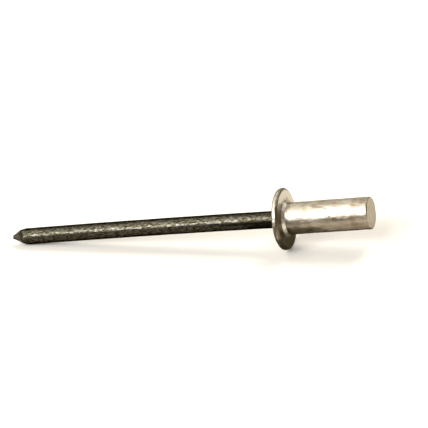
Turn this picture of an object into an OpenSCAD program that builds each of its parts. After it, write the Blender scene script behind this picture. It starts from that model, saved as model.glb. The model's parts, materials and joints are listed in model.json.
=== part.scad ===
// Closed-end blind rivet, unset: an aluminium shell with a flange and a closed end, swaged onto
// a steel mandrel whose head is held inside it. The mandrel's stem leaves through the dome of
// the flange and ends in a pinched point.
//
// Every module draws along the rivet's own axis, which is X: the bearing face of the flange is at
// x = 0, the shank runs to +X and the stem to -X. The rivet then leans as it lies on a flat
// surface, on the corner of its flange and the shoulder of its point.

/* [Shank] */
// Outer diameter of the shank
shank_d = 3.2; // [2.9:0.1:4]
// Length of the shank, from the bearing face to the closed end
shank_l = 8.7; // [7:0.1:14]
// Width of the bevel round the closed end
end_bevel = 0.12; // [0.05:0.01:0.2]
// Thickness of the closed end
end_wall = 0.8; // [0.5:0.1:1.5]

/* [Flange] */
// Diameter of the flange
flange_d = 6.2; // [5.4:0.1:7]
// Height of the flange's rim, with the bevel at its edge
rim_h = 0.25; // [0.2:0.05:0.4]
// Width of the bevel between the rim and the bearing face
rim_bevel = 0.12; // [0.05:0.01:0.15]
// Radius of the rounded corner between the rim and the dome
corner_r = 0.38; // [0.2:0.01:0.4]
// Height of the dome above the bearing face
dome_h = 1; // [0.8:0.05:1.3]
// Width of the conical collar between the bearing face and the shank
collar_w = 0.28; // [0.1:0.02:0.4]
// Width of the countersink where the stem leaves the dome
mouth_w = 0.12; // [0.05:0.01:0.2]

/* [Stem] */
// Diameter of the mandrel's stem
stem_d = 1.7; // [1.5:0.05:1.9]
// Reach of the mandrel from the bearing face to the end of its point
stem_reach = 30.6; // [24:0.1:36]
// Half-angle of the pinched point
point_angle = 24; // [20:1:40]
// Turn of the point's first face about the axis, from the top towards the front
point_turn = 52; // [45:1:56]
// Distance of each face from the axis at the point's blunt end
point_blunt = 0.14; // [0.05:0.01:0.25]

/* [Mandrel head] */
// Diameter of the mandrel's head
head_d = 2.26; // [2.1:0.02:2.5]
// Length of the head's straight side
head_l = 0.9; // [0.6:0.1:1.4]
// Half-angle of the cone that joins the head to the stem
head_angle = 45; // [30:5:60]
// Width of the bevel round the head's end
head_bevel = 0.12; // [0.05:0.01:0.2]
// Diameter left at the bottom of the break groove
neck_d = 1.2; // [0.9:0.05:1.4]
// Width of the flat at the bottom of the break groove
neck_flat = 0.12; // [0.05:0.01:0.3]
// Half-angle between the groove's flanks and a plane across the axis
neck_angle = 40; // [20:5:50]
// Distance from the head's cone to the middle of the break groove
neck_gap = 1.3; // [0.9:0.1:2]

/* [Fit] */
// Radial clearance between the mandrel and the swaged shell
swage_gap = 0.02; // [0.01:0.005:0.04]
// Free space between the mandrel's head and the closed end
end_gap = 0.15; // [0.05:0.05:0.4]

/* [Hidden] */
$fn = 96;

shank_r = shank_d / 2;
flange_r = flange_d / 2;
stem_r = stem_d / 2;
head_r = head_d / 2;
neck_r = neck_d / 2;

// Places along the axis, from the closed end back to the point
chamber_end_x = shank_l - end_wall;
head_end_x = chamber_end_x - end_gap;
head_start_x = head_end_x - head_l;
cone_start_x = head_start_x - (head_r - stem_r) / tan(head_angle);
neck_x = cone_start_x - neck_gap;
point_x = -stem_reach;

// The corner's arc ends where the dome's arc begins
corner_sweep = 60;
dome_edge_r = flange_r - corner_r + corner_r * cos(corner_sweep);
dome_edge_h = rim_h + corner_r * sin(corner_sweep);
dome_rise = dome_h - dome_edge_h;
dome_r = (pow(dome_edge_r, 2) + pow(dome_rise, 2)) / (2 * dome_rise);

// Turn from the middle of one of the point's four faces to the next
face_step = 90;

// Lean of the axis at rest: the surface touches the corner of the flange, and the stem where
// the lowest edge of the point begins
shoulder_x = point_x + (stem_r * cos(face_step / 2) - point_blunt) / tan(point_angle);
shoulder_drop = stem_r * cos(point_turn - face_step / 2);
corner_run = -rim_h - shoulder_x;
corner_drop = flange_r - corner_r - shoulder_drop;
lean = atan(corner_drop / corner_run) + asin(corner_r / norm([corner_run, corner_drop]));

// How far cutting shapes reach past what they cut
over = 1;
// Side of the block that cuts each face of the point, long enough to leave the stem again
face_block = 4 * stem_d;

SHELL_COLOUR = [0.74, 0.71, 0.66];
MANDREL_COLOUR = [0.2, 0.18, 0.15];

// Turns an outline drawn as [radius, place along the axis] about the X axis
module turned() {
    rotate([0, 90, 0]) rotate_extrude() children();
}

// Lays the rivet's axis down as it comes to rest
module at_rest() {
    rotate([0, -lean, 0]) children();
}

// Half section of the shank and its collar
module shank_outline() {
    polygon([
        [0, 0],
        [shank_r + collar_w, 0],
        [shank_r, collar_w],
        [shank_r, shank_l - end_bevel],
        [shank_r - end_bevel, shank_l],
        [0, shank_l],
    ]);
}

// Half section of the flange: a bevelled rim, a rounded corner and a low dome
module flange_outline() {
    polygon([
        [0, -rim_h],
        [flange_r, -rim_h],
        [flange_r, -rim_bevel],
        [flange_r - rim_bevel, 0],
        [0, 0],
    ]);
    translate([dome_edge_r, -rim_h]) intersection() {
        translate([flange_r - corner_r - dome_edge_r, 0]) circle(corner_r);
        translate([0, -corner_r]) square(corner_r);
    }
    intersection() {
        translate([0, dome_r - dome_h]) circle(dome_r);
        translate([0, -dome_h]) square([dome_edge_r, dome_h]);
    }
}

// Half section of the space for the mandrel: countersunk mouth, bore, and chamber for the head
module cavity_outline() {
    bore_r = stem_r + swage_gap;
    chamber_r = head_r + swage_gap;
    polygon([
        [0, -dome_h - over],
        [bore_r + mouth_w + over, -dome_h - over],
        [bore_r, mouth_w - dome_h],
        [bore_r, cone_start_x],
        [chamber_r, head_start_x],
        [chamber_r, chamber_end_x - end_gap],
        [chamber_r - end_gap, chamber_end_x],
        [0, chamber_end_x],
    ]);
}

module rivet_body() {
    color(SHELL_COLOUR) at_rest() turned() difference() {
        union() {
            shank_outline();
            flange_outline();
        }
        cavity_outline();
    }
}

// Half section of the mandrel before it is pointed: stem, break groove, cone and head
module mandrel_outline() {
    flank_w = (stem_r - neck_r) * tan(neck_angle);
    groove_half = neck_flat / 2 + flank_w;
    polygon([
        [0, point_x],
        [stem_r, point_x],
        [stem_r, neck_x - groove_half],
        [neck_r, neck_x - neck_flat / 2],
        [neck_r, neck_x + neck_flat / 2],
        [stem_r, neck_x + groove_half],
        [stem_r, cone_start_x],
        [head_r, head_start_x],
        [head_r, head_end_x - head_bevel],
        [head_r - head_bevel, head_end_x],
        [0, head_end_x],
    ]);
}

// The block that takes one face off the point. The face looks along +Z turned about the axis,
// and leans in towards the point by the half-angle.
module point_face(turn) {
    rotate([turn, 0, 0]) translate([point_x, 0, point_blunt]) rotate([0, -point_angle, 0])
        translate([-over, -face_block / 2, 0]) cube(face_block);
}

module mandrel() {
    color(MANDREL_COLOUR) at_rest() difference() {
        turned() mandrel_outline();
        point_face(point_turn);
        point_face(point_turn + face_step);
        point_face(point_turn + 2 * face_step);
        point_face(point_turn + 3 * face_step);
    }
}

rivet_body();
mandrel();
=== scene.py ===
"""Dresses an unset closed-end blind rivet: a cold-formed aluminium shell on a steel mandrel.

The shell and the mandrel replace their plain CAD solids with surfaces that have rounded edges, the
unevenness of tumbled and drawn metal, and a finish of their own. All sizes are in millimetres. The
pieces are worked out along and round the rivet's own axis, and RivetAxis places them in the model's
frame, in metres.
"""

import json
import logging
from dataclasses import dataclass, field
from enum import Enum

import bpy
import numpy as np
from mathutils import Matrix, Vector


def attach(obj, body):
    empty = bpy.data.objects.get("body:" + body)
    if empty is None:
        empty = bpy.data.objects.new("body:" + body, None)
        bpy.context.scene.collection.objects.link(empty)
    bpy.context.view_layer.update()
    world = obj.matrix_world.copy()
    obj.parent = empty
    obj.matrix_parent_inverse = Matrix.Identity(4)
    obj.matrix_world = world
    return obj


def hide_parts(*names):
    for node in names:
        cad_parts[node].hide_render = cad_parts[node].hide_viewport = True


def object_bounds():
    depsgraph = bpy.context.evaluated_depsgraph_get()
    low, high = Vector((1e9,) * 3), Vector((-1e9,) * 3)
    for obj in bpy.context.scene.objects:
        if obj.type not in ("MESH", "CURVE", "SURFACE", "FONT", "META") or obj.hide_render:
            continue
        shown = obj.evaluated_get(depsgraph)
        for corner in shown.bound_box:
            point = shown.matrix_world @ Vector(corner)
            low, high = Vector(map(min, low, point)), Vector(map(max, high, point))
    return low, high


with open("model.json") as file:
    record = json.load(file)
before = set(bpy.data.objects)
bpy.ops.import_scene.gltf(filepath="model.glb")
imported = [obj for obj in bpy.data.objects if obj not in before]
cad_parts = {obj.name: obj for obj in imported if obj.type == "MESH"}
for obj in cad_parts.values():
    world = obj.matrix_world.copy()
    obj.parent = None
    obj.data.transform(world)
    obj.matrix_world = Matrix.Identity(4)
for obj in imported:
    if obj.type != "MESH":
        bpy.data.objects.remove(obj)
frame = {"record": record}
CAD_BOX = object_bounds()

METRES = 0.001
Colour = tuple[float, float, float]
log = logging.getLogger("rivet")


class Node(Enum):
    """The CAD nodes that the pieces stand for."""

    SHELL = "rivet_body"
    MANDREL = "mandrel"


class Slot(Enum):
    """The record's material slots."""

    SHELL = "shell_aluminium"
    MANDREL = "mandrel_steel"


class PointFace(Enum):
    """The four faces of the mandrel's pinched point, by their turn about the axis from the top."""

    FRONT = 52
    LOWER = 142
    BACK = 232
    UPPER = 322


# ------------------------------------------------------------------------------- shapes


@dataclass(frozen=True)
class RivetAxis:
    """The rivet's own axis: it starts at the centre of the bearing face and runs to the closed end."""

    along: np.ndarray
    side: np.ndarray
    up: np.ndarray

    @classmethod
    def from_record(cls, record: dict) -> "RivetAxis":
        """Reads the axis off the mount named shank.

        Args:
            record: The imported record.

        Returns:
            The axis, with the direction up as near to the model's own as it can be.
        """
        shank = next(mount for mount in record["mounts"] if mount["name"] == "shank")
        along = np.array(shank["axis"])
        side = np.cross((0.0, 0.0, 1.0), along)
        side /= np.linalg.norm(side)
        return cls(along=along, side=side, up=np.cross(along, side))

    @property
    def lean(self) -> float:
        """The angle in radians by which the axis rises towards the closed end."""
        return float(np.arcsin(self.along[2]))

    def place(self, points: np.ndarray) -> np.ndarray:
        """Turns points into the model's frame: each is the sum of its three lengths along the axis,
        to the side and up, times those directions.

        Args:
            points: Rows of (along, side, up) in millimetres.

        Returns:
            Rows of (x, y, z) in metres.
        """
        return points @ np.stack([self.along, self.side, self.up]) * METRES


def rounded_path(corners: list[tuple[float, float, float]], steps: int = 6) -> np.ndarray:
    """A path through corners, with each one replaced by an arc of its own radius.

    An arc touches the corner's two sides at the radius times the tangent of half the turn. Its
    points are the arc's centre plus the radius along directions spread evenly over the turn.

    Args:
        corners: (along, radius, rounding) of each corner in millimetres. The first and last are
            ends, and aren't rounded.
        steps: How many pieces an arc has.

    Returns:
        Rows of (along, radius).
    """
    spots = np.array([corner[:2] for corner in corners])
    path = [spots[:1]]
    for before, spot, after, corner in zip(spots, spots[1:], spots[2:], corners[1:]):
        rounding = corner[2]
        back = (before - spot) / np.linalg.norm(before - spot)
        ahead = (after - spot) / np.linalg.norm(after - spot)
        half = np.arccos(np.clip(back @ ahead, -1, 1)) / 2
        if rounding <= 0 or np.pi / 2 - half < 1e-4:
            path.append(spot[None])
            continue
        middle = back + ahead
        centre = spot + middle / np.linalg.norm(middle) * rounding / np.sin(half)
        first = spot + back * rounding / np.tan(half) - centre
        last = spot + ahead * rounding / np.tan(half) - centre
        share = np.linspace(0, 1, steps + 1)[:, None]
        turn = np.pi - 2 * half
        arc = (np.sin((1 - share) * turn) * first + np.sin(share * turn) * last) / np.sin(turn)
        path.append(centre + arc)
    path.append(spots[-1:])
    return np.concatenate(path)


def arc_path(
    centre: tuple[float, float], radius: float, start: float, end: float, steps: int
) -> np.ndarray:
    """Points on a circle: its centre plus the radius times the cosine and sine of evenly spread angles.

    Args:
        centre: (along, radius) of the circle's centre.
        radius: Its radius.
        start: First angle in radians, from the direction of the axis.
        end: Last angle.
        steps: How many pieces it has.

    Returns:
        Rows of (along, radius).
    """
    angle = np.linspace(start, end, steps + 1)
    return np.stack([centre[0] + radius * np.cos(angle), centre[1] + radius * np.sin(angle)], axis=1)


def evened(path: np.ndarray, longest: float) -> np.ndarray:
    """The same path with every piece longer than a limit cut into equal pieces.

    Args:
        path: Rows of (along, radius).
        longest: The limit in millimetres.

    Returns:
        Rows of (along, radius), without doubles.
    """
    length = np.linalg.norm(np.diff(path, axis=0), axis=1)
    kept = np.concatenate([[True], length > 1e-6])
    path = path[kept]
    length = np.linalg.norm(np.diff(path, axis=0), axis=1)
    pieces = np.maximum(1, np.ceil(length / longest)).astype(int)
    piece = np.repeat(np.arange(len(pieces)), pieces)
    share = (np.arange(len(piece)) - np.repeat(np.cumsum(pieces) - pieces, pieces)) / pieces[piece]
    points = path[piece] + share[:, None] * (path[piece + 1] - path[piece])
    return np.concatenate([points, path[-1:]])


@dataclass(frozen=True)
class Unevenness:
    """Shallow random waves in a metal surface, drawn out along the axis."""

    depth: float
    along: float
    across: float
    seed: int
    waves: int = 90
    rates: tuple[float, float] = (0.55, 1.3)

    def heights(self, points: np.ndarray) -> np.ndarray:
        """The height at each point: the sum of plane waves of random direction, rate and phase,
        whose lengths are about the two given ones, scaled so that its usual size is the depth.

        Args:
            points: Rows of (along, side, up) in millimetres.

        Returns:
            One height in millimetres for each point.
        """
        draw = np.random.default_rng(self.seed)
        lengths = np.array([self.along, self.across, self.across])
        rates = draw.normal(size=(self.waves, 3))
        scale = draw.uniform(*self.rates, (self.waves, 1))
        rates *= scale / np.linalg.norm(rates, axis=1, keepdims=True)
        phases = draw.uniform(0, 2 * np.pi, self.waves)
        waves = np.sin(2 * np.pi * (points / lengths) @ rates.T + phases)
        return self.depth * np.sqrt(2 / self.waves) * waves.sum(axis=1)


@dataclass(frozen=True)
class Nicks:
    """Small dents from handling, scattered at random over a length of the surface."""

    count: int
    depth: float
    width: float
    reach: tuple[float, float]
    radius: float
    seed: int
    depths: tuple[float, float] = (0.3, 1.0)
    widths: tuple[float, float] = (0.5, 1.3)
    stretches: tuple[float, float] = (0.0, 0.85)

    def heights(self, points: np.ndarray) -> np.ndarray:
        """The height at each point: minus the sum of bell shapes round the dents' middles, each
        drawn out in a random direction. The ranges give the random shares of the full depth and
        width, and how far a dent is drawn out.

        Args:
            points: Rows of (along, side, up) in millimetres.

        Returns:
            One height in millimetres for each point, nought or less.
        """
        draw = np.random.default_rng(self.seed)
        along = draw.uniform(*self.reach, self.count)
        turn = draw.uniform(0, 2 * np.pi, self.count)
        middles = np.stack([along, -self.radius * np.sin(turn), self.radius * np.cos(turn)], axis=1)
        depths = self.depth * draw.uniform(*self.depths, self.count)
        widths = self.width * draw.uniform(*self.widths, self.count)
        streak = draw.normal(size=(self.count, 3))
        streak /= np.linalg.norm(streak, axis=1, keepdims=True)
        stretch = draw.uniform(*self.stretches, self.count)
        total = np.zeros(len(points))
        for middle, depth, width, way, share in zip(middles, depths, widths, streak, stretch):
            offset = points - middle
            nearness = (offset**2).sum(axis=1) - share * (offset @ way) ** 2
            total -= depth * np.exp(-nearness / width**2)
        return total


def path_normals(path: np.ndarray) -> np.ndarray:
    """The outward direction at each point of a path that runs from the axis, round the outside and
    back to the axis: the direction between its neighbours, turned a quarter.

    Args:
        path: Rows of (along, radius).

    Returns:
        Rows of (along, radius), one long.
    """
    step = np.gradient(path, axis=0)
    normal = np.stack([step[:, 1], -step[:, 0]], axis=1)
    normal[0] = (np.sign(normal[1, 0]), 0)
    normal[-1] = (np.sign(normal[-2, 0]), 0)
    return normal / np.linalg.norm(normal, axis=1, keepdims=True)


def surface_points(along: np.ndarray, radii: np.ndarray, turns: np.ndarray) -> np.ndarray:
    """The points of a surface round the axis: along is as given, side is minus the radius times
    the sine of the turn, and up is the radius times its cosine.

    Args:
        along: The place along the axis, for each row or for each row and turn.
        radii: The radius at each row and turn.
        turns: Angles about the axis, nought at the top.

    Returns:
        (rows, turns, 3) of (along, side, up).
    """
    along = np.broadcast_to(along, radii.shape)
    return np.stack([along, -radii * np.sin(turns), radii * np.cos(turns)], axis=2)


def turned_mesh(name: str, points: np.ndarray, axis: RivetAxis) -> bpy.types.Mesh:
    """A closed mesh from rows of points round the axis. The first and the last row are poles.

    Each four neighbours make a face, and each pole a fan. The faces are turned round if the volume
    under them, the sum of the products of their corners, is negative.

    Args:
        name: Name of the mesh.
        points: (rows, turns, 3) of (along, side, up) in millimetres.
        axis: Where the rivet lies.

    Returns:
        The mesh in the model's frame, with its faces outwards.
    """
    rows, turns = points.shape[:2]
    inner = points[1:-1].reshape(-1, 3)
    verts = np.concatenate([inner, points[0, :1], points[-1, :1]])
    first_pole, last_pole = len(inner), len(inner) + 1
    here = np.arange(turns)
    there = (here + 1) % turns
    start = (np.arange(rows - 3) * turns)[:, None]
    quads = np.stack([start + here, start + there, start + turns + there, start + turns + here], axis=2)
    end = (rows - 3) * turns
    first_fan = np.stack([np.full(turns, first_pole), there, here], axis=1)
    last_fan = np.stack([np.full(turns, last_pole), end + here, end + there], axis=1)
    faces = quads.reshape(-1, 4).tolist() + first_fan.tolist() + last_fan.tolist()
    placed = axis.place(verts)
    corners = placed[quads.reshape(-1, 4)]
    volume = np.einsum("ij,ij->i", corners[:, 0], np.cross(corners[:, 1], corners[:, 2])).sum()
    if volume < 0:
        faces = [face[::-1] for face in faces]
    mesh = bpy.data.meshes.new(name)
    mesh.from_pydata(placed.tolist(), [], faces)
    mesh.update()
    mesh.shade_smooth()
    return mesh


def row_attribute(mesh: bpy.types.Mesh, name: str, values: np.ndarray) -> None:
    """Keeps one number for each point of a turned mesh.

    Args:
        mesh: The mesh.
        name: Name of the attribute, which the finish reads.
        values: (rows, turns) of numbers, laid out as the points that the mesh was made from.
    """
    flat = np.concatenate([values[1:-1].ravel(), values[0, :1], values[-1, :1]]).astype(np.float32)
    mesh.attributes.new(name, "FLOAT", "POINT").data.foreach_set("value", flat)


# ------------------------------------------------------------------------------- finishes


class Recipe:
    """A material's node tree, with short calls for the nodes that the finishes are made of."""

    def __init__(self, name: str, axis: RivetAxis) -> None:
        """Starts a material whose patterns lie along the rivet's axis.

        Args:
            name: Name of the material.
            axis: Where the rivet lies.
        """
        self.material = bpy.data.materials.new(name)
        self.material.use_nodes = True
        self.nodes = self.material.node_tree.nodes
        self.links = self.material.node_tree.links
        self.shader = self.nodes["Principled BSDF"]
        place = self.nodes.new("ShaderNodeTexCoord")
        turned = self.nodes.new("ShaderNodeMapping")
        turned.inputs["Rotation"].default_value = (0, axis.lean, 0)
        self.links.new(place.outputs["Object"], turned.inputs["Vector"])
        self.place = turned.outputs["Vector"]

    def noise(
        self, along: float, across: float, detail: float = 3, roughness: float = 0.55, shift: float = 0
    ) -> bpy.types.NodeSocket:
        """Noise with patches of about the given size.

        Args:
            along: Size along the axis in millimetres.
            across: Size across it.
            detail: How many finer layers it has.
            roughness: How strong they are.
            shift: Moves the pattern, so that two layers differ.

        Returns:
            The output that holds the noise.
        """
        scaled = self.nodes.new("ShaderNodeMapping")
        sizes = (along, across, across)
        scaled.inputs["Scale"].default_value = tuple(1 / (METRES * size) for size in sizes)
        scaled.inputs["Location"].default_value = (shift, shift * 1.7, shift * 0.6)
        self.links.new(self.place, scaled.inputs["Vector"])
        texture = self.nodes.new("ShaderNodeTexNoise")
        texture.inputs["Scale"].default_value = 1
        texture.inputs["Detail"].default_value = detail
        texture.inputs["Roughness"].default_value = roughness
        self.links.new(scaled.outputs["Vector"], texture.inputs["Vector"])
        return texture.outputs["Fac"]

    def attribute(self, name: str) -> bpy.types.NodeSocket:
        """A number that the mesh keeps for each point.

        Args:
            name: Name of the attribute.

        Returns:
            The output that holds the number.
        """
        node = self.nodes.new("ShaderNodeAttribute")
        node.attribute_name = name
        return node.outputs["Fac"]

    def ramp(
        self, value: bpy.types.NodeSocket, stops: list[tuple[float, Colour]]
    ) -> bpy.types.NodeSocket:
        """A colour for each value, blended between stops.

        Args:
            value: The output that is read.
            stops: (value, colour) of each stop, in order.

        Returns:
            The output that holds the colour.
        """
        node = self.nodes.new("ShaderNodeValToRGB")
        elements = node.color_ramp.elements
        while len(elements) < len(stops):
            elements.new(1)
        for element, (spot, colour) in zip(elements, stops):
            element.position = spot
            element.color = (*colour, 1)
        self.links.new(value, node.inputs["Fac"])
        return node.outputs["Color"]

    def spread(
        self, value: bpy.types.NodeSocket, low: float, high: float, to_low: float, to_high: float
    ) -> bpy.types.NodeSocket:
        """A value spread from one range onto another, and held inside it.

        Args:
            value: The output that is read.
            low: Where the first range starts.
            high: Where it ends.
            to_low: Where the second range starts.
            to_high: Where it ends.

        Returns:
            The output that holds the new value.
        """
        node = self.nodes.new("ShaderNodeMapRange")
        sockets = ("From Min", "From Max", "To Min", "To Max")
        for socket, number in zip(sockets, (low, high, to_low, to_high)):
            node.inputs[socket].default_value = number
        self.links.new(value, node.inputs["Value"])
        return node.outputs["Result"]

    def blend(
        self, share: bpy.types.NodeSocket, under: bpy.types.NodeSocket, over: Colour
    ) -> bpy.types.NodeSocket:
        """A colour laid over another by a share.

        Args:
            share: The output that holds the share of the upper colour.
            under: The output that holds the lower colour.
            over: The upper colour.

        Returns:
            The output that holds the new colour.
        """
        node = self.nodes.new("ShaderNodeMix")
        node.data_type = "RGBA"
        below, above = (socket for socket in node.inputs if socket.type == "RGBA")
        above.default_value = (*over, 1)
        self.links.new(share, node.inputs["Factor"])
        self.links.new(under, below)
        return next(socket for socket in node.outputs if socket.type == "RGBA")

    def sum(self, parts: list[tuple[float, bpy.types.NodeSocket]]) -> bpy.types.NodeSocket:
        """The sum of outputs, each times its own weight.

        Args:
            parts: (weight, output) of each.

        Returns:
            The output that holds the sum.
        """
        total = None
        for weight, part in parts:
            node = self.nodes.new("ShaderNodeMath")
            node.operation = "MULTIPLY_ADD"
            node.inputs[1].default_value = weight
            node.inputs[2].default_value = 0
            self.links.new(part, node.inputs[0])
            if total is not None:
                self.links.new(total, node.inputs[2])
            total = node.outputs[0]
        return total

    def bump(self, height: bpy.types.NodeSocket, distance: float) -> bpy.types.NodeSocket:
        """Fine relief on the surface.

        Args:
            height: The output that holds the height, as a share of the distance.
            distance: The full height in millimetres.

        Returns:
            The output that holds the direction of the surface.
        """
        node = self.nodes.new("ShaderNodeBump")
        node.inputs["Strength"].default_value = 1
        node.inputs["Distance"].default_value = distance * METRES
        self.links.new(height, node.inputs["Height"])
        return node.outputs["Normal"]

    def feed(self, socket: str, output: bpy.types.NodeSocket) -> None:
        """Links an output to one of the shader's sockets."""
        self.links.new(output, self.shader.inputs[socket])


@dataclass(frozen=True)
class TumbledAluminium:
    """Dull aluminium, cold formed and tumbled: warm grey, with fine drawn lines and brown stains."""

    pale: Colour = (0.46, 0.405, 0.31)
    grey: Colour = (0.31, 0.26, 0.195)
    stain: Colour = (0.22, 0.155, 0.1)
    pressed_with_painted_shade: Colour = (0.8, 0.76, 0.67)
    # Colour of the painted dark reflection on the rounding between the bearing face and the rim.
    painted_dark_reflection: Colour = (0.13, 0.105, 0.07)
    edge: Colour = (0.6, 0.56, 0.48)
    roughness: tuple[float, float] = (0.27, 0.42)

    def make(self, axis: RivetAxis) -> bpy.types.Material:
        """Makes the material.

        Args:
            axis: Where the rivet lies.

        Returns:
            The material.
        """
        recipe = Recipe("tumbled_aluminium", axis)
        patches = recipe.noise(1.5, 0.7, detail=3)
        colour = recipe.ramp(patches, [(0.35, self.grey), (0.65, self.pale)])
        stains = recipe.noise(1.1, 0.5, detail=4, roughness=0.6, shift=7)
        colour = recipe.blend(recipe.spread(stains, 0.52, 0.68, 0, 0.8), colour, self.stain)
        # Pale pressed tone, left off the lower front of the bearing face as painted shade.
        colour = recipe.blend(recipe.attribute("pressed_with_painted_shade"), colour, self.pressed_with_painted_shade)
        # Painted dark reflection on the rim's rounding, at seven tenths of its share.
        colour = recipe.blend(recipe.sum([(0.7, recipe.attribute("painted_dark_reflection"))]), colour, self.painted_dark_reflection)
        # Darker brown in the corner outside the collar, a brown stain ring near the closed end, and the
        # stains.
        darkening_and_stains = recipe.sum([(0.6, recipe.attribute("dark_corner_and_stain_ring")), (1.0, stains)])
        colour = recipe.blend(recipe.spread(darkening_and_stains, 0.85, 1.25, 0, 0.55), colour, self.stain)
        recipe.feed("Base Color", colour)
        recipe.shader.inputs["Metallic"].default_value = 1
        recipe.shader.inputs["Specular Tint"].default_value = (*self.edge, 1)
        fine = recipe.noise(0.5, 0.06, detail=2)
        mottle = recipe.sum([(0.5, patches), (0.5, fine)])
        recipe.feed("Roughness", recipe.spread(mottle, 0.35, 0.65, *self.roughness))
        grain = recipe.noise(0.09, 0.07, detail=2, shift=3)
        recipe.feed("Normal", recipe.bump(recipe.sum([(0.6, fine), (0.4, grain)]), 0.006))
        return recipe.material


@dataclass(frozen=True)
class OxidisedWire:
    """Drawn steel wire with a dark oxide, rubbed paler in small flecks."""

    dark: Colour = (0.017, 0.0135, 0.004)
    rubbed: Colour = (0.098, 0.089, 0.074)
    edge: Colour = (0.15, 0.13, 0.09)
    roughness: tuple[float, float] = (0.24, 0.34)

    def make(self, axis: RivetAxis) -> bpy.types.Material:
        """Makes the material.

        Args:
            axis: Where the rivet lies.

        Returns:
            The material.
        """
        recipe = Recipe("oxidised_wire", axis)
        flecks = recipe.noise(0.45, 0.14, detail=4, roughness=0.65)
        colour = recipe.ramp(flecks, [(0.42, self.dark), (0.68, self.rubbed)])
        recipe.feed("Base Color", colour)
        recipe.shader.inputs["Metallic"].default_value = 1
        recipe.shader.inputs["Specular Tint"].default_value = (*self.edge, 1)
        fine = recipe.noise(0.7, 0.05, detail=2, shift=2)
        recipe.feed("Roughness", recipe.spread(flecks, 0.35, 0.65, self.roughness[1], self.roughness[0]))
        grain = recipe.noise(0.12, 0.08, detail=2, shift=5)
        recipe.feed("Normal", recipe.bump(recipe.sum([(0.5, fine), (0.5, grain)]), 0.006))
        return recipe.material


# ------------------------------------------------------------------------------- pieces


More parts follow.
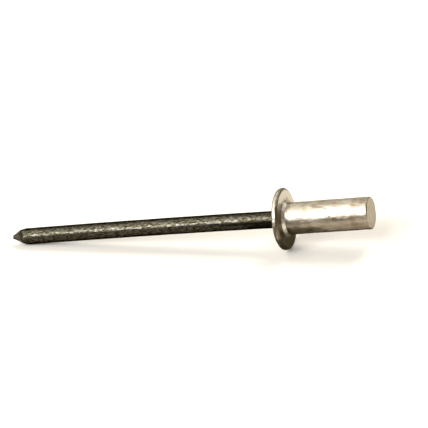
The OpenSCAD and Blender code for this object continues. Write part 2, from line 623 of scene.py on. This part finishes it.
@dataclass
class Shell:
    """The aluminium shell: closed end, shank, collar, flange with a low dome, and the cavity."""

    axis: RivetAxis
    shank_r: float = 1.6
    shank_l: float = 8.7
    end_round: float = 0.13
    flange_r: float = 3.1
    rim_round: float = 0.3
    rim_h: float = 0.37
    corner_r: float = 0.26
    dome_h: float = 1.0
    collar_w: float = 0.28
    mouth_w: float = 0.12
    mouth_share: float = 0.9
    bore_r: float = 0.87
    cone_start: float = 6.57
    chamber_r: float = 1.15
    chamber_start: float = 6.85
    chamber_end: float = 7.9
    chamber_bevel: float = 0.15
    corner_sweep: float = 60.0
    # Width of the darkening in the corner outside the collar.
    dark_corner_w: float = 0.3
    stain_at: float = 7.25
    stain_w: float = 0.4
    stain_share: float = 1.2
    end_share: float = 0.43
    # Turn of the middle of the painted shade on the bearing face, in degrees from the top.
    painted_shade_turn: float = 123.0
    turns: int = 256
    fine_step: float = 0.065
    coarse_step: float = 0.4
    still_rows: int = 4
    waves: Unevenness = field(default_factory=lambda: Unevenness(0.005, 0.8, 0.42, seed=11))
    ripples: Unevenness = field(default_factory=lambda: Unevenness(0.002, 0.3, 0.17, seed=14))
    swells: Unevenness = field(default_factory=lambda: Unevenness(0.004, 3.2, 1.6, seed=12))
    nicks: Nicks = field(default_factory=lambda: Nicks(46, 0.011, 0.12, (-0.9, 8.7), 2.0, seed=13))

    def outside(self) -> np.ndarray:
        """The half section of the outside, from the middle of the closed end to the mouth in the dome.

        The rim's corner is an arc of 60 degrees, and the dome is the circle that carries it on to
        the height of the dome at the axis.

        Returns:
            Rows of (along, radius).
        """
        sweep = np.radians(self.corner_sweep)
        edge_r = self.flange_r - self.corner_r + self.corner_r * np.cos(sweep)
        edge_h = self.rim_h + self.corner_r * np.sin(sweep)
        rise = self.dome_h - edge_h
        dome_r = (edge_r**2 + rise**2) / (2 * rise)
        mouth_r = self.bore_r + self.mouth_w
        front = rounded_path(
            [
                (self.shank_l, 0, 0),
                (self.shank_l, self.shank_r, self.end_round),
                (self.collar_w, self.shank_r, 0.03),
                (0, self.shank_r + self.collar_w, 0.1),
                (0, self.flange_r, self.rim_round),
                (-self.rim_h, self.flange_r, 0),
            ]
        )
        middle = (-self.rim_h, self.flange_r - self.corner_r)
        corner = arc_path(middle, self.corner_r, np.pi / 2, np.pi / 2 + sweep, 10)
        first, last = np.pi - np.arcsin(np.array([edge_r, mouth_r]) / dome_r)
        dome = arc_path((dome_r - self.dome_h, 0), dome_r, first, last, 12)
        return np.concatenate([front, corner, dome])

    def inside(self) -> np.ndarray:
        """The half section of the cavity, from the mouth to the middle of the chamber's end.

        Returns:
            Rows of (along, radius).
        """
        mouth = self.mouth_w - self.dome_h
        flare = self.mouth_w * self.mouth_share
        return rounded_path(
            [
                (mouth - flare, self.bore_r + flare, 0),
                (mouth, self.bore_r, 0.05),
                (self.cone_start, self.bore_r, 0.1),
                (self.chamber_start, self.chamber_r, 0.05),
                (self.chamber_end - self.chamber_bevel, self.chamber_r, 0.05),
                (self.chamber_end, self.chamber_r - self.chamber_bevel, 0.05),
                (self.chamber_end, 0, 0),
            ]
        )

    def finish_shares(
        self, path: np.ndarray, normal: np.ndarray, turns: np.ndarray
    ) -> dict[str, np.ndarray]:
        """How much of three parts of the finish each point has.

        The corner outside the collar is darkened by a bell shape, and a brown stain is a broader
        one round the shank near its closed end. The pressed tone is on the bearing face, and partly
        on the closed end. On the bearing face it is left off the lower front as painted shade, by the
        cosine of the turn from the middle of that part. A painted dark reflection lies on the rounding
        between the bearing face and the rim, from where it starts to face along the axis to just before
        it lies flat.

        Args:
            path: Rows of (along, radius).
            normal: The outward direction at each.
            turns: Angles about the axis, nought at the top.

        Returns:
            (rows, turns) of shares by the name of the part.
        """
        along, radius, facing = path[:, :1], path[:, 1:], normal[:, :1]
        # Darker in the corner outside the collar, and a brown stain ring round the shank near its closed
        # end.
        corner = np.hypot(along, radius - self.shank_r - self.collar_w - 0.1)
        stain = self.stain_share * np.exp(-(((along - self.stain_at) / self.stain_w) ** 2))
        dark_corner_and_stain_ring = np.exp(-((corner / self.dark_corner_w) ** 2)) + stain
        # Painted dark reflection: the rim's rounding where it turns to face along the axis.
        is_edge = (radius > self.flange_r - self.rim_round - 0.02) & (np.abs(along) < self.rim_h)
        painted_dark_reflection = is_edge * np.clip((facing - 0.1) / 0.3, 0, 1) * np.clip((0.995 - facing) / 0.05, 0, 1)
        is_bearing = (np.abs(along) < 0.3) & (radius > self.shank_r) & (facing > 0.6)
        is_end = (along > self.shank_l - 0.05) & (facing > 0.9)
        # Painted shade: the lower front of the bearing face loses the pale pressed tone.
        painted_shade = np.clip((np.cos(turns - np.radians(self.painted_shade_turn)) - 0.07) / 0.3, 0, 1)
        painted_shade = painted_shade * (radius > self.shank_r + self.collar_w + 0.03)
        every = np.ones(len(turns))
        return {
            "dark_corner_and_stain_ring": dark_corner_and_stain_ring * every,
            "painted_dark_reflection": painted_dark_reflection * every,
            "pressed_with_painted_shade": is_bearing * (1 - painted_shade) + self.end_share * is_end,
        }

    def make(self, finish: TumbledAluminium) -> bpy.types.Object:
        """Makes the shell: the half section turned about the axis, with its outside moved out and
        in by the waves, the ripples, the swells and the nicks. The rows next to the mouth stay
        still.

        Args:
            finish: Its finish.

        Returns:
            The finished piece.
        """
        outside = evened(self.outside(), self.fine_step)
        path = np.concatenate([outside, evened(self.inside(), self.coarse_step)])
        turns = np.arange(self.turns) * 2 * np.pi / self.turns
        radii = np.repeat(path[:, 1:], self.turns, axis=1)
        flat = surface_points(path[:, :1], radii, turns).reshape(-1, 3)
        layers = (self.nicks, self.waves, self.ripples, self.swells)
        relief = sum(layer.heights(flat) for layer in layers)
        is_outside = (np.arange(len(path)) < len(outside) - self.still_rows)[:, None]
        relief = relief.reshape(radii.shape) * is_outside
        normal = path_normals(path)
        along = path[:, :1] + normal[:, :1] * relief
        radii = radii + normal[:, 1:] * relief
        mesh = turned_mesh("shell", surface_points(along, radii, turns), self.axis)
        for name, share in self.finish_shares(path, normal, turns).items():
            row_attribute(mesh, name, share * is_outside)
        return piece("shell", mesh, finish.make(self.axis), Node.SHELL, Slot.SHELL)


@dataclass
class Mandrel:
    """The steel mandrel: a pinched point, the stem, the break groove, and the head on its cone."""

    axis: RivetAxis
    stem_r: float = 0.862
    reach: float = 30.64
    blunt: float = 0.16
    half_angle: float = 24.0
    hollow: float = 0.03
    bow: float = 0.075
    edge_round: float = 0.035
    tip_shares: tuple[float, ...] = (0.0, 0.55, 0.9)
    tip_depths: tuple[float, ...] = (0.0, 0.0, 0.012, 0.04)
    point_l: float = 2.6
    mouth_at: float = -0.9
    mouth_fade: float = 0.2
    point_fade: float = 0.3
    neck_r: float = 0.6
    neck_at: float = 5.27
    neck_flat: float = 0.12
    neck_angle: float = 40.0
    cone_start: float = 6.57
    head_start: float = 6.85
    head_end: float = 7.75
    head_r: float = 1.13
    head_bevel: float = 0.12
    turns: int = 144
    point_step: float = 0.035
    stem_step: float = 0.085
    waves: Unevenness = field(default_factory=lambda: Unevenness(0.0009, 0.6, 0.25, seed=21))
    swells: Unevenness = field(default_factory=lambda: Unevenness(0.003, 2.5, 0.9, seed=22))
    nicks: Nicks = field(default_factory=lambda: Nicks(60, 0.006, 0.08, (-30.0, 0.0), 0.85, seed=23))

    def half_section(self) -> np.ndarray:
        """The half section before the point is pinched, from the point's end to the head's end.

        Returns:
            Rows of (along, radius).
        """
        flank = (self.stem_r - self.neck_r) * np.tan(np.radians(self.neck_angle))
        groove = self.neck_flat / 2 + flank
        point_end = self.point_l - self.reach
        spots = (-self.reach, point_end, self.neck_at - groove)
        stops = np.array([(spot, self.stem_r) for spot in spots])
        pointed = evened(stops[:2], self.point_step)
        stem = evened(stops[1:], self.stem_step)
        head = rounded_path(
            [
                (self.neck_at - groove, self.stem_r, 0),
                (self.neck_at - self.neck_flat / 2, self.neck_r, 0.02),
                (self.neck_at + self.neck_flat / 2, self.neck_r, 0.02),
                (self.neck_at + groove, self.stem_r, 0.02),
                (self.cone_start, self.stem_r, 0.1),
                (self.head_start, self.head_r, 0.05),
                (self.head_end - self.head_bevel, self.head_r, 0.03),
                (self.head_end, self.head_r - self.head_bevel, 0.03),
                (self.head_end, 0, 0),
            ],
            steps=3,
        )
        return evened(np.concatenate([pointed, stem, head]), self.stem_step * 2)

    def pinched(self, along: np.ndarray, radii: np.ndarray, turns: np.ndarray) -> np.ndarray:
        """The radii after the four faces are pinched into the end.

        A face cuts each turn at its distance from the axis, which grows towards the stem with the
        tangent of the half-angle less half a sine wave of the hollow, divided by the cosine of the
        turn from the face. The least of the four and the round stem holds, with a smooth minimum
        that rounds the edges.

        Args:
            along: The place of each row.
            radii: (rows, turns) before the cut.
            turns: Angles about the axis.

        Returns:
            (rows, turns) after it.
        """
        slope = np.tan(np.radians(self.half_angle))
        run = along + self.reach
        share = np.clip(run * slope / (self.stem_r - self.blunt), 0, 1)
        distance = self.blunt + run * slope - self.hollow * np.sin(np.pi * share)
        least = radii
        for face in PointFace:
            facing = np.cos(turns - np.radians(face.value))
            cut = distance[:, None] / np.maximum(facing, 0.05)
            gap = np.clip(0.5 + (cut - least) / (2 * self.edge_round), 0, 1)
            least = least * gap + cut * (1 - gap) - self.edge_round * gap * (1 - gap)
        return least

    def make(self, finish: OxidisedWire) -> bpy.types.Object:
        """Makes the mandrel: the pinched half section round the axis, closed by a blunt tip. The
        tip's rows are shares of the first radius, and they and the first row stand in from the end
        by their own depths. Waves, swells and nicks move the stem's surface out and in, and fade at
        the point's end and before the shell's mouth. The stem bows up by a parabola between the
        point's end and the bearing face.

        Args:
            finish: Its finish.

        Returns:
            The finished piece.
        """
        path = self.half_section()
        turns = np.arange(self.turns) * 2 * np.pi / self.turns
        radii = np.repeat(path[:, 1:], self.turns, axis=1)
        radii = self.pinched(path[:, 0], radii, turns)
        tip = radii[:1] * np.array(self.tip_shares)[:, None]
        path = np.concatenate([np.repeat(path[:1], len(tip), axis=0), path])
        path[: len(self.tip_depths), 0] += np.array(self.tip_depths)
        radii = np.concatenate([tip, radii])
        along = path[:, :1]
        flat = surface_points(along, radii, turns).reshape(-1, 3)
        relief = sum(layer.heights(flat) for layer in (self.waves, self.swells, self.nicks))
        before_mouth = np.clip((self.mouth_at - along) / self.mouth_fade, 0, 1)
        past_point = np.clip((along + self.reach) / self.point_fade, 0, 1)
        radii = np.maximum(radii + relief.reshape(radii.shape) * before_mouth * past_point, 0)
        placed = surface_points(along, radii, turns)
        share = np.clip(-along / self.reach, 0, 1)
        placed[..., 2] += self.bow * 4 * share * (1 - share)
        mesh = turned_mesh("mandrel_wire", placed, self.axis)
        return piece("mandrel_wire", mesh, finish.make(self.axis), Node.MANDREL, Slot.MANDREL)


def piece(
    name: str, mesh: bpy.types.Mesh, material: bpy.types.Material, node: Node, slot: Slot
) -> bpy.types.Object:
    """Puts a finished mesh into the scene in place of its CAD node.

    Args:
        name: The piece's name.
        mesh: Its mesh, in the model's frame.
        material: Its material.
        node: The CAD node that it stands for.
        slot: The record's slot that its finish comes from. It is not used.

    Returns:
        The piece.
    """
    made = bpy.data.objects.new(name, mesh)
    bpy.context.scene.collection.objects.link(made)
    mesh.materials.append(material)
    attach(made, "root")
    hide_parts(node.value)
    log.info("%s: %d faces, for %s", name, len(mesh.polygons), node.value)
    return made


# ------------------------------------------------------------------------------- studio


def direction(azimuth: float, elevation: float) -> Vector:
    """The direction from the object to a place round it: the sine and minus the cosine of the
    azimuth, both times the cosine of the elevation, and the sine of the elevation.

    Args:
        azimuth: Turn about the vertical in degrees, nought in front.
        elevation: Height above the floor in degrees.

    Returns:
        The direction, one long.
    """
    around, height = np.radians((azimuth, elevation))
    return Vector((np.sin(around) * np.cos(height), -np.cos(around) * np.cos(height), np.sin(height)))


@dataclass(frozen=True)
class Softbox:
    """A rectangular studio light that faces the object."""

    name: str
    azimuth: float
    elevation: float
    distance: float
    width: float
    height: float
    radiance: float
    roll: float = 0.0
    tint: Colour = (1.0, 1.0, 1.0)

    def make(self, target: Vector) -> None:
        """Hangs the light. Its power is the radiance times its area times pi.

        Args:
            target: The place that it is aimed at.
        """
        lamp = bpy.data.lights.new(self.name, "AREA")
        lamp.shape = "RECTANGLE"
        lamp.size = self.width * METRES
        lamp.size_y = self.height * METRES
        lamp.energy = self.radiance * self.width * self.height * METRES**2 * np.pi
        lamp.color = self.tint
        away = direction(self.azimuth, self.elevation)
        lit = bpy.data.objects.new(self.name, lamp)
        lit.location = target + away * self.distance * METRES
        rolled = Matrix.Rotation(np.radians(self.roll), 3, away)
        lit.rotation_euler = (rolled @ away.to_track_quat("Z", "Y").to_matrix()).to_euler()
        bpy.context.scene.collection.objects.link(lit)


def emission(nodes: bpy.types.Nodes, tone: Colour) -> bpy.types.Node:
    """A shader that glows with an even tone.

    Args:
        nodes: The tree that it is put in.
        tone: Its colour.

    Returns:
        The shader's node.
    """
    glow = nodes.new("ShaderNodeEmission")
    glow.inputs["Color"].default_value = (*tone, 1)
    return glow


def reflected_only(name: str, verts: np.ndarray, faces: np.ndarray, tone: Colour) -> None:
    """Makes a studio surface of a dim even tone that only reflections show. It draws the edges of
    bright metal.

    Args:
        name: Its name.
        verts: (n, 3) places.
        faces: (n, 4) corners of each face.
        tone: Its colour.
    """
    mesh = bpy.data.meshes.new(name)
    mesh.from_pydata(verts.tolist(), [], faces.tolist())
    surface = bpy.data.objects.new(name, mesh)
    bpy.context.scene.collection.objects.link(surface)
    material = bpy.data.materials.new(name)
    material.use_nodes = True
    nodes, links = material.node_tree.nodes, material.node_tree.links
    nodes.remove(nodes["Principled BSDF"])
    links.new(emission(nodes, tone).outputs[0], nodes["Material Output"].inputs["Surface"])
    mesh.materials.append(material)
    surface.visible_camera = False
    surface.visible_diffuse = False
    surface.visible_shadow = False


@dataclass(frozen=True)
class DimScreen:
    """A curved dim screen that stands beside the object."""

    first: float
    last: float
    radius: float
    height: float
    tone: Colour = (0.08, 0.07, 0.05)
    steps: int = 32

    def make(self, foot: Vector) -> None:
        """Stands the screen up: the radius along directions spread over its arc, at the foot and at
        the height.

        Args:
            foot: The place on the floor that it stands round.
        """
        turn = np.radians(np.linspace(self.first, self.last, self.steps + 1))
        way = np.stack([np.sin(turn), -np.cos(turn), np.zeros(len(turn))], axis=1)
        arc = way * self.radius * METRES + foot
        verts = np.concatenate([arc, arc + (0, 0, self.height * METRES)])
        here = np.arange(self.steps)
        above = here + len(turn)
        faces = np.stack([here, here + 1, above + 1, above], axis=1)
        reflected_only("dim_screen", verts, faces, self.tone)


@dataclass(frozen=True)
class DimCard:
    """A dim rectangular card that lies on the floor."""

    name: str
    first: tuple[float, float]
    last: tuple[float, float]
    tone: Colour = (0.14, 0.122, 0.085)
    lift: float = 0.02

    def make(self, foot: Vector) -> None:
        """Lays the card down between its two corners, lifted just above the floor.

        Args:
            foot: The place on the floor that its corners are measured from.
        """
        (left, front), (right, back) = self.first, self.last
        spots = ((left, front), (right, front), (right, back), (left, back))
        verts = np.array([(*spot, self.lift) for spot in spots]) * METRES + foot
        reflected_only(self.name, verts, np.array([[0, 1, 2, 3]]), self.tone)


def shown_rays(nodes: bpy.types.Nodes, links: bpy.types.NodeLinks) -> bpy.types.NodeSocket:
    """The rays that show the background: camera, glossy and transmission.

    Args:
        nodes: The tree that is added to.
        links: Its links.

    Returns:
        The output that is 1 for these rays and otherwise 0.
    """
    rays = nodes.new("ShaderNodeLightPath")
    total = rays.outputs["Is Camera Ray"]
    for kind in ("Is Glossy Ray", "Is Transmission Ray"):
        larger = nodes.new("ShaderNodeMath")
        larger.operation = "MAXIMUM"
        links.new(total, larger.inputs[0])
        links.new(rays.outputs[kind], larger.inputs[1])
        total = larger.outputs[0]
    return total


@dataclass(frozen=True)
class WhiteSheet:
    """A pale sheet that keeps the shadow near the object and shows as white further out."""

    colour: Colour = (0.595, 0.55, 0.475)
    glow: Colour = (1.0, 0.98, 0.93)
    lift: float = 0.16
    fade: tuple[float, float] = (30.0, 80.0)

    def make(self, middle: tuple[float, float, float]) -> bpy.types.Material:
        """Makes the material.

        Args:
            middle: The place that the sheet is pale round, in metres.

        Returns:
            The material.
        """
        material = bpy.data.materials.new("white_sheet")
        material.use_nodes = True
        nodes, links = material.node_tree.nodes, material.node_tree.links
        nodes.remove(nodes["Principled BSDF"])
        sheet = nodes.new("ShaderNodeBsdfDiffuse")
        sheet.inputs["Color"].default_value = (*self.colour, 1)
        near = nodes.new("ShaderNodeAddShader")
        links.new(sheet.outputs[0], near.inputs[0])
        links.new(self.lifted(nodes, links), near.inputs[1])
        mixed = nodes.new("ShaderNodeMixShader")
        links.new(self.share(nodes, links, middle), mixed.inputs["Fac"])
        links.new(near.outputs[0], mixed.inputs[1])
        links.new(emission(nodes, (1, 1, 1)).outputs[0], mixed.inputs[2])
        links.new(mixed.outputs[0], nodes["Material Output"].inputs["Surface"])
        return material

    def lifted(self, nodes: bpy.types.Nodes, links: bpy.types.NodeLinks) -> bpy.types.NodeSocket:
        """A faint glow for the camera alone, as strong as the lift.

        Args:
            nodes: The tree that is added to.
            links: Its links.

        Returns:
            The shader's output.
        """
        glow = emission(nodes, self.glow)
        rays = nodes.new("ShaderNodeLightPath")
        strength = nodes.new("ShaderNodeMath")
        strength.operation = "MULTIPLY"
        strength.inputs[1].default_value = self.lift
        links.new(rays.outputs["Is Camera Ray"], strength.inputs[0])
        links.new(strength.outputs[0], glow.inputs["Strength"])
        return glow.outputs[0]

    def share(
        self, nodes: bpy.types.Nodes, links: bpy.types.NodeLinks, middle: tuple[float, float, float]
    ) -> bpy.types.NodeSocket:
        """How white the sheet shows: nought near the middle, one past the fade, for shown rays.

        Args:
            nodes: The tree that is added to.
            links: Its links.
            middle: The place that the sheet is pale round, in metres.

        Returns:
            The output that holds the share.
        """
        place = nodes.new("ShaderNodeTexCoord")
        offset = nodes.new("ShaderNodeVectorMath")
        offset.operation = "DISTANCE"
        offset.inputs[1].default_value = middle
        links.new(place.outputs["Object"], offset.inputs[0])
        far = nodes.new("ShaderNodeMapRange")
        far.interpolation_type = "SMOOTHSTEP"
        far.inputs["From Min"].default_value = self.fade[0] * METRES
        far.inputs["From Max"].default_value = self.fade[1] * METRES
        links.new(offset.outputs["Value"], far.inputs["Value"])
        share = nodes.new("ShaderNodeMath")
        share.operation = "MULTIPLY"
        links.new(far.outputs["Result"], share.inputs[0])
        links.new(shown_rays(nodes, links), share.inputs[1])
        return share.outputs[0]


@dataclass
class Studio:
    """A plain pale floor, soft lights, dim surfaces for the metal to reflect, and the camera."""

    axis: RivetAxis
    target: Vector
    ground: float
    azimuth: float = 22.28
    elevation: float = 27.0
    roll: float = 10.43
    depth: float = 179.1
    right: float = 15.33
    up: float = 0.11
    lens: float = 154.7
    closed_end: float = 8.7
    sensor: float = 36.0
    floor_r: float = 900.0
    floor_sides: int = 96
    surround: Colour = (1.0, 0.95, 0.86)
    surround_strength: float = 0.12
    lights: tuple[Softbox, ...] = (
        Softbox("key_softbox", -9, 40.5, 600, 190, 230, 13.0, 0, (0.96, 1.0, 1.08)),
        Softbox("side_softbox", -36, 32.5, 600, 190, 262, 17.5, 0, (0.96, 1.0, 1.08)),
        Softbox("high_softbox", -46, 58.5, 600, 390, 225, 5.2, -10),
        Softbox("back_softbox", -104, 57.5, 600, 320, 180, 2.2),
        Softbox("left_softbox", -80, 20, 600, 170, 220, 3.2),
        Softbox("fill_softbox", 155, 54, 600, 390, 300, 11.2),
    )
    cards: tuple[DimScreen | DimCard, ...] = (
        DimScreen(6, 178, 80, 250, (0.17, 0.15, 0.11)),
        DimScreen(-50, 20, 15, 5.5),
        DimCard("under_card", (-5, -1.4), (10.5, 4)),
        DimCard("left_card", (-5, -5), (3, -1.4)),
        DimCard("front_card", (-9, -14), (-1.6, -5)),
    )

    def camera(self) -> None:
        """Sets up the camera. The closed end lies at the given depth, and to the right of the line
        of sight and above it by the given lengths."""
        back = direction(self.azimuth, self.elevation)
        level = Vector((0, 0, 1)).cross(back).normalized()
        upright = back.cross(level)
        turn = Matrix.Rotation(-np.radians(self.roll), 3, back)
        right, above = turn @ level, turn @ upright
        end = Vector(self.axis.place(np.array([[self.closed_end, 0, 0]]))[0])
        spot = end + (back * self.depth - right * self.right - above * self.up) * METRES
        data = bpy.data.cameras.new("camera")
        data.lens = self.lens
        data.sensor_width = self.sensor
        data.clip_start = 0.005
        data.clip_end = 10
        camera = bpy.data.objects.new("camera", data)
        turned = Matrix((right, above, back)).transposed().to_4x4()
        camera.matrix_world = Matrix.Translation(spot) @ turned
        bpy.context.scene.collection.objects.link(camera)
        bpy.context.scene.camera = camera

    def world(self) -> None:
        """A dim warm surrounding light that shows as white."""
        world = bpy.data.worlds.new("surround")
        world.use_nodes = True
        bpy.context.scene.world = world
        nodes, links = world.node_tree.nodes, world.node_tree.links
        dim = nodes["Background"]
        dim.inputs["Color"].default_value = (*self.surround, 1)
        dim.inputs["Strength"].default_value = self.surround_strength
        white = nodes.new("ShaderNodeBackground")
        white.inputs["Color"].default_value = (1, 1, 1, 1)
        white.inputs["Strength"].default_value = 1
        mixed = nodes.new("ShaderNodeMixShader")
        links.new(shown_rays(nodes, links), mixed.inputs["Fac"])
        links.new(dim.outputs["Background"], mixed.inputs[1])
        links.new(white.outputs["Background"], mixed.inputs[2])
        links.new(mixed.outputs["Shader"], nodes["World Output"].inputs["Surface"])

    def floor(self) -> None:
        """A round floor under the object, of points on a circle round it."""
        turn = np.arange(self.floor_sides) * 2 * np.pi / self.floor_sides
        rim = np.stack([np.cos(turn), np.sin(turn), np.zeros(len(turn))], axis=1)
        middle = (self.target.x, self.target.y, self.ground)
        mesh = bpy.data.meshes.new("floor")
        spots = (rim * self.floor_r * METRES + middle).tolist()
        mesh.from_pydata(spots, [], [list(range(self.floor_sides))])
        mesh.materials.append(WhiteSheet().make(middle))
        floor = bpy.data.objects.new("floor", mesh)
        bpy.context.scene.collection.objects.link(floor)

    def make(self) -> None:
        """Sets up everything in the studio."""
        self.camera()
        self.world()
        self.floor()
        for light in self.lights:
            light.make(self.target)
        for card in self.cards:
            card.make(Vector((0, 0, self.ground)))
        bpy.context.scene.view_settings.view_transform = "Standard"


def main() -> None:
    """Builds the studio and the rivet's two pieces."""
    logging.basicConfig(level=logging.INFO, format="%(message)s")
    axis = RivetAxis.from_record(frame["record"])
    low, high = (Vector(corner) for corner in CAD_BOX)
    Studio(axis=axis, target=(low + high) / 2, ground=low.z).make()
    Shell(axis=axis).make(TumbledAluminium())
    Mandrel(axis=axis).make(OxidisedWire())


if __name__ == "__main__":
    main()
